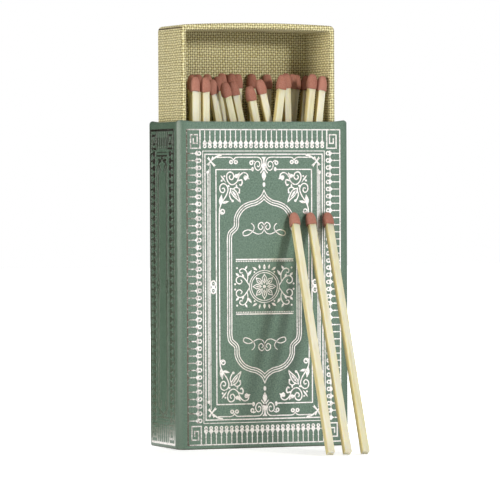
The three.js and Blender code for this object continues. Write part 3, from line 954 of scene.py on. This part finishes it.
def one_head():
    """A head standing on the origin by its lower rim, with a socket for the stick."""
    socket_half = STICK / 2 + SOCKET_GAP
    arc_steps = 5
    side_steps = 2
    count = 4 * (arc_steps + side_steps)
    socket = rounded_outline(socket_half, socket_half, STICK_EDGE + SOCKET_GAP, arc_steps, side_steps)
    turns = [2 * math.pi * index / count for index in range(count)]
    rim = [RIM_WAVE * math.sin(2 * turn) + RIM_RIPPLE * math.sin(3 * turn + 1) for turn in turns]
    rings = [[(x, y, HEAD_LENGTH - HEAD_COVER + SOCKET_GAP) for x, y in socket],
             [(x, y, rim[index]) for index, (x, y) in enumerate(socket)]]
    widest = 0.36
    tip = 0.13
    levels = [(0.0, 0.86), (0.02, 0.9), (0.1, 0.94), (0.2, 0.975), (widest, 1.0)]
    dome_steps = 12
    for step in range(1, dome_steps + 1):
        angle = step / dome_steps * math.pi / 2
        levels.append((widest + (1 - widest) * math.sin(angle), tip + (1 - tip) * math.cos(angle) ** 0.75))
    for height, share in levels:
        half = HEAD_WIDTH / 2 * share
        roundness = min(1.0, 0.62 + 0.55 * height)
        outline = rounded_outline(half, half, half * roundness, arc_steps, side_steps)
        sway = max(0.0, 1 - height * 4)
        level = height * HEAD_LENGTH
        rings.append([(x, y, level + rim[index] * sway) for index, (x, y) in enumerate(outline)])
    return piece_from("one head", *skin(rings, False), paste.material)


def corners_and_middle(node):
    points = [vertex.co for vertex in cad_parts[node].data.vertices]
    return points, sum(points, Vector()) / len(points)


def stand(names, part):
    """Points with the turn and stretch of each named match's stick or head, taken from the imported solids."""
    places = []
    turns = []
    stretches = []
    for index, name in enumerate(names):
        stick_points, stick_middle = corners_and_middle(name + "_stick")
        head_middle = corners_and_middle(name + "_head")[1]
        axis = (head_middle - stick_middle).normalized()
        across_y = axis.cross(Vector((1, 0, 0))).normalized()
        across_x = across_y.cross(axis)
        turn = Matrix((across_x, across_y, axis)).transposed()
        reach = [(point - stick_middle).dot(axis) for point in stick_points]
        if part == "stick":
            foot = stick_middle + axis * min(reach)
            stretch = (max(reach) - min(reach)) / STICK_LENGTH
        else:
            turn = turn @ Matrix.Rotation(math.pi / 2 * (index * 3 % 4), 3, "Z")
            foot = stick_middle + axis * (max(reach) + HEAD_COVER - HEAD_LENGTH)
            stretch = 1.0
        places.append(foot)
        turns.append(turn.to_euler())
        stretches.append((1.0, 1.0, stretch))
    mesh = bpy.data.meshes.new("places")
    mesh.from_pydata(places, [], [])
    for key, values in (("turn", turns), ("stretch", stretches)):
        stored = mesh.attributes.new(key, "FLOAT_VECTOR", "POINT")
        for index, value in enumerate(values):
            stored.data[index].vector = value
    return mesh


matches_on_places = match_tree()
names = [f"match_{number:02d}" for number in range(1, MATCHES + 1)]
copied = {"stick": one_stick(), "head": one_head()}
finishes = {"stick": (aspen.material, "match_wood"), "head": (paste.material, "match_head")}
for body, group in (("tray", names[:STANDING]), ("sleeve", names[STANDING:])):
    for part in ("stick", "head"):
        material, slot_name = finishes[part]
        values = {"Copied": copied[part], "Seed": TONE_SEED, "Finish": material}
        made = made_by(matches_on_places, stand(group, part), values)
        made.name = f"{body}_match_{part}s"
        matches = object_of(made.name, made)
        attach(matches, body)
        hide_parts(*[f"{name}_{part}" for name in group])
for pattern in copied.values():
    bpy.data.objects.remove(pattern)

# Floor and background
# A plain white floor that keeps the box's soft shadow, under an even white world.
FLOOR_HALF = 3.0
GLOW_REACH = (0.03, 0.3)
GLOW_BEHIND = (-0.01, 0.04)
GLOW_LEAST = 0.46
WORLD_LIGHT = 0.14


def seen_directly(tree):
    """One for the rays that show what is behind the object, and nothing for those that light it."""
    path = add_node(tree, "ShaderNodeLightPath").outputs
    seen = path["Is Camera Ray"]
    for kind in ("Is Glossy Ray", "Is Transmission Ray"):
        seen = add_node(tree, "ShaderNodeMath", {0: seen, 1: path[kind]}, operation="MAXIMUM").outputs[0]
    return seen


white = Finish("white floor", {"Roughness": 0.9, "Base Color": (0.8, 0.8, 0.8, 1), "Specular IOR Level": 0.1,
                               "Emission Color": (1, 1, 1, 1)})
white_place = white.place()
white_far = white.node("ShaderNodeVectorMath", {0: white_place}, operation="LENGTH").outputs["Value"]
white_glow = white.calc("MAXIMUM", white.spread(white_far, *GLOW_REACH, GLOW_LEAST, 1.0),
                        white.spread(white.parts(white_place)["Y"], *GLOW_BEHIND))
white.set({"Emission Strength": white.calc("MULTIPLY", seen_directly(white.tree), white_glow)})
floor_corners = [(x, y, 0) for x, y in rectangle(FLOOR_HALF, -FLOOR_HALF, FLOOR_HALF)]
floor = piece_from("floor", floor_corners, [(0, 1, 2, 3)], white.material)

world = bpy.data.worlds.new("studio")
bpy.context.scene.world = world
world.use_nodes = True
sky = world.node_tree
sky_light = {"Value": seen_directly(sky), "To Min": WORLD_LIGHT, "To Max": 1.0}
sky_strength = add_node(sky, "ShaderNodeMapRange", sky_light).outputs["Result"]
set_inputs(sky, sky.nodes["Background"], {"Color": (1, 1, 1, 1), "Strength": sky_strength})

# Lamps
# A key lamp in front at the right, a broad warm one at the left, and soft ones above and behind.
# A card behind at the left, though no lamp, glows in its own dark colours and shows only in what shines, as a
# painted dark reflection in the foil on the narrow side.
AIM_HEIGHT = 80 * MM
aim = Vector((0, sleeve_middle.y, AIM_HEIGHT))


def area_lamp(name, place, size, power, tint=(1, 1, 1), shines=True):
    lamp = bpy.data.lights.new(name, "AREA")
    lamp.shape = "DISK"
    lamp.size = size
    lamp.energy = power
    lamp.color = tint
    holder = object_of(name, lamp)
    holder.location = place
    holder.visible_glossy = shines
    holder.rotation_euler = (Vector(place) - aim).to_track_quat("Z", "Y").to_euler()


area_lamp("key lamp", (0.34, -1.0, 0.36), 0.17, 8.5, shines=False)
area_lamp("left lamp", (-1.05, -0.24, 0.24), 0.4, 6.7, tint=(1, 0.96, 0.88))
area_lamp("top lamp", (0.1, -0.2, 1.1), 0.6, 2.0)
area_lamp("back lamp", (0.5, 1.0, 0.6), 0.5, 6.0, shines=False)

CARD_BEHIND = 20 * MM
CARD_WIDTH = 0.4
CARD_HEIGHT = 0.35
CARD_LIFT = 0.5 * MM
CARD_FADE = 100 * MM
dark = Finish("dark card", {"Roughness": 1.0, "Base Color": (0, 0, 0, 1), "Specular IOR Level": 0.0,
                            "Emission Strength": 1.0})
# The card glows in painted colours, green-grey at its foot and near black above, as a painted reflection.
card_glow_fade = dark.spread(dark.parts(dark.place())["Z"], 0.0, CARD_FADE)
dark.set({"Emission Color": dark.mix(card_glow_fade, shade(86, 104, 84), shade(22, 14, 8))})
card_x = sleeve_low.x - CARD_WIDTH / 2
card_y = sleeve_high.y + CARD_BEHIND
card_corners = [(card_x + x, card_y, z) for x, z in rectangle(CARD_WIDTH / 2, CARD_LIFT, CARD_HEIGHT)]
card = piece_from("dark_card", card_corners, [(0, 1, 2, 3)], dark.material)
card.visible_camera = False
card.visible_diffuse = False
card.visible_shadow = False

# Camera
# A long lens at the height of the box, about a quarter of a right angle round to the left of the front.
YAW = math.radians(21.568)
PITCH = math.radians(0.854)
ROLL = math.radians(-0.256)
DISTANCE = 1.387889
TARGET_RIGHT = 0.574 * MM
TARGET_HEIGHT = 66.522 * MM
SENSOR = 36
FOCAL_LENGTH = 293.58
target = Vector((sleeve_middle.x + TARGET_RIGHT, sleeve_middle.y, TARGET_HEIGHT))
view = Vector((math.sin(YAW) * math.cos(PITCH), math.cos(YAW) * math.cos(PITCH), -math.sin(PITCH)))
level_right = Vector((math.cos(YAW), -math.sin(YAW), 0))
level_up = level_right.cross(view)
right = level_right * math.cos(ROLL) + level_up * math.sin(ROLL)
up_way = level_up * math.cos(ROLL) - level_right * math.sin(ROLL)
lens = bpy.data.cameras.new("camera")
lens.sensor_width = SENSOR
lens.lens = FOCAL_LENGTH
camera = object_of("camera", lens)
turned = Matrix((right, up_way, -view)).transposed().to_4x4()
turned.translation = target - view * DISTANCE
camera.matrix_world = turned
bpy.context.scene.camera = camera
bpy.context.scene.view_settings.view_transform = "Standard"

bpy.context.view_layer.update()
